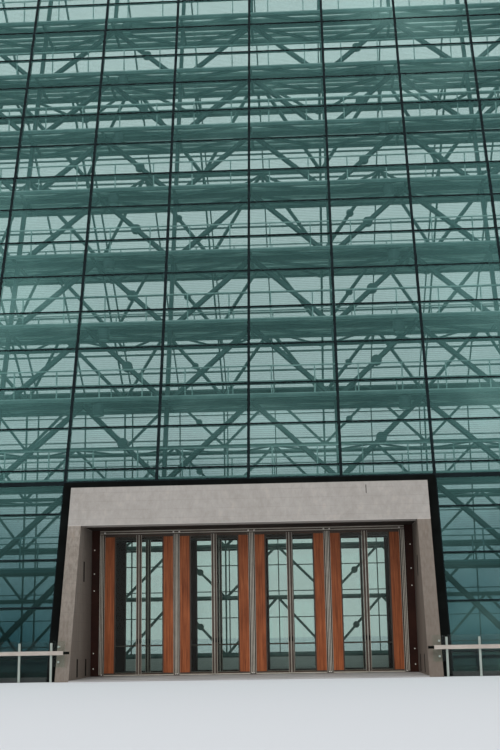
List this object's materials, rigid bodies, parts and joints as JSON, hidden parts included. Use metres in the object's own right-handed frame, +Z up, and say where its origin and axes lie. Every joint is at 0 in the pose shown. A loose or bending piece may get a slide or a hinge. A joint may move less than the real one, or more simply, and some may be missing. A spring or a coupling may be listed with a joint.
{
  "type": "town hall building",
  "caption": "Glazed town hall with a leaning front, a long sloping glass roof behind it, steel lattices with walkways inside and a concrete entrance portal with two sets of timber-faced double doors.",
  "frame": {"origin": "middle of the footprint, at ground level under the walls", "axes": "+X to the right seen from the street, +Y into the building, +Z up"},
  "size_m": [39.2, 39.3754, 35.7513],
  "materials": {
    "portal_concrete": "smooth cast concrete, warm grey, fine pores",
    "wall_concrete": "cast concrete in storey-high panels",
    "dark_concrete": "dark cast kerb",
    "paving": "pale grey paving",
    "black_steel": "satin black paint",
    "dark_soffit": "dark brown-grey soffit",
    "dark_panel": "dark bronze panel",
    "bronze": "bronze anodised, brushed",
    "timber": "oiled reddish hardwood, vertical grain",
    "clear_glass": "clear toughened glass",
    "green_glass": "green tinted laminated glass",
    "grey_frame": "grey powder coat",
    "black_gasket": "matt black silicone and cap",
    "truss_steel": "grey-green satin paint",
    "grating_steel": "galvanised grating",
    "guard_steel": "brushed stainless steel",
    "rail_bronze": "bronze anodised rail"
  },
  "bodies": {
    "hall": {"base_kerb": "dark_concrete", "ground_floor": "paving", "left_wall": "wall_concrete", "right_wall": "wall_concrete", "portal_lintel": "portal_concrete", "portal_legs": "portal_concrete", "portal_surround": "black_steel", "portal_roof": "dark_soffit", "portal_infill": "dark_panel", "door_frame": "bronze", "front_glass": "green_glass", "front_frame": "grey_frame", "front_caps": "black_gasket", "rear_glass": "green_glass", "rear_frame": "grey_frame", "rear_caps": "black_gasket", "roof_glass": "green_glass", "roof_frame": "grey_frame", "roof_coping": "black_steel", "truss_outer": "truss_steel", "truss_inner": "truss_steel", "lower_truss_left": "truss_steel", "lower_truss_right": "truss_steel", "truss_bracing": "truss_steel", "walkways": "grating_steel", "guard_posts": "guard_steel", "guard_glass": "clear_glass", "guard_rails": "rail_bronze"},
    "door_1": {"door_1_frame": "bronze", "door_1_timber": "timber", "door_1_glass": "clear_glass"},
    "door_2": {"door_2_frame": "bronze", "door_2_timber": "timber", "door_2_glass": "clear_glass"},
    "door_3": {"door_3_frame": "bronze", "door_3_timber": "timber", "door_3_glass": "clear_glass"},
    "door_4": {"door_4_frame": "bronze", "door_4_timber": "timber", "door_4_glass": "clear_glass"},
    "door_5": {"door_5_frame": "bronze", "door_5_timber": "timber", "door_5_glass": "clear_glass"},
    "door_6": {"door_6_frame": "bronze", "door_6_timber": "timber", "door_6_glass": "clear_glass"},
    "door_7": {"door_7_frame": "bronze", "door_7_timber": "timber", "door_7_glass": "clear_glass"},
    "door_8": {"door_8_frame": "bronze", "door_8_timber": "timber", "door_8_glass": "clear_glass"},
    "inner_leaf_1": {"inner_door_1": "bronze"},
    "inner_leaf_2": {"inner_door_2": "bronze"},
    "inner_leaf_3": {"inner_door_3": "bronze"},
    "inner_leaf_4": {"inner_door_4": "bronze"},
    "inner_leaf_5": {"inner_door_5": "bronze"},
    "inner_leaf_6": {"inner_door_6": "bronze"},
    "inner_leaf_7": {"inner_door_7": "bronze"},
    "inner_leaf_8": {"inner_door_8": "bronze"}
  },
  "joints": [
    {"name": "door_1_hinge", "type": "hinge", "parent": "hall", "child": "door_1", "pos_m": [-5.196, -15.94028, 0.04], "axis": [0, 0, -1], "range_deg": [0, 90]},
    {"name": "door_2_hinge", "type": "hinge", "parent": "hall", "child": "door_2", "pos_m": [-2.754, -15.94028, 0.04], "axis": [0, 0, 1], "range_deg": [0, 90]},
    {"name": "door_3_hinge", "type": "hinge", "parent": "hall", "child": "door_3", "pos_m": [-2.546, -15.94028, 0.04], "axis": [0, 0, -1], "range_deg": [0, 90]},
    {"name": "door_4_hinge", "type": "hinge", "parent": "hall", "child": "door_4", "pos_m": [-0.104, -15.94028, 0.04], "axis": [0, 0, 1], "range_deg": [0, 90]},
    {"name": "door_5_hinge", "type": "hinge", "parent": "hall", "child": "door_5", "pos_m": [0.104, -15.94028, 0.04], "axis": [0, 0, -1], "range_deg": [0, 90]},
    {"name": "door_6_hinge", "type": "hinge", "parent": "hall", "child": "door_6", "pos_m": [2.546, -15.94028, 0.04], "axis": [0, 0, 1], "range_deg": [0, 90]},
    {"name": "door_7_hinge", "type": "hinge", "parent": "hall", "child": "door_7", "pos_m": [2.754, -15.94028, 0.04], "axis": [0, 0, -1], "range_deg": [0, 90]},
    {"name": "door_8_hinge", "type": "hinge", "parent": "hall", "child": "door_8", "pos_m": [5.196, -15.94028, 0.04], "axis": [0, 0, 1], "range_deg": [0, 90]},
    {"name": "inner_door_1_hinge", "type": "hinge", "parent": "hall", "child": "inner_leaf_1", "pos_m": [-5.196, -13.57028, 0.04], "axis": [0, 0, -1], "range_deg": [0, 90]},
    {"name": "inner_door_2_hinge", "type": "hinge", "parent": "hall", "child": "inner_leaf_2", "pos_m": [-2.754, -13.57028, 0.04], "axis": [0, 0, 1], "range_deg": [0, 90]},
    {"name": "inner_door_3_hinge", "type": "hinge", "parent": "hall", "child": "inner_leaf_3", "pos_m": [-2.546, -13.57028, 0.04], "axis": [0, 0, -1], "range_deg": [0, 90]},
    {"name": "inner_door_4_hinge", "type": "hinge", "parent": "hall", "child": "inner_leaf_4", "pos_m": [-0.104, -13.57028, 0.04], "axis": [0, 0, 1], "range_deg": [0, 90]},
    {"name": "inner_door_5_hinge", "type": "hinge", "parent": "hall", "child": "inner_leaf_5", "pos_m": [0.104, -13.57028, 0.04], "axis": [0, 0, -1], "range_deg": [0, 90]},
    {"name": "inner_door_6_hinge", "type": "hinge", "parent": "hall", "child": "inner_leaf_6", "pos_m": [2.546, -13.57028, 0.04], "axis": [0, 0, 1], "range_deg": [0, 90]},
    {"name": "inner_door_7_hinge", "type": "hinge", "parent": "hall", "child": "inner_leaf_7", "pos_m": [2.754, -13.57028, 0.04], "axis": [0, 0, -1], "range_deg": [0, 90]},
    {"name": "inner_door_8_hinge", "type": "hinge", "parent": "hall", "child": "inner_leaf_8", "pos_m": [5.196, -13.57028, 0.04], "axis": [0, 0, 1], "range_deg": [0, 90]}
  ]
}
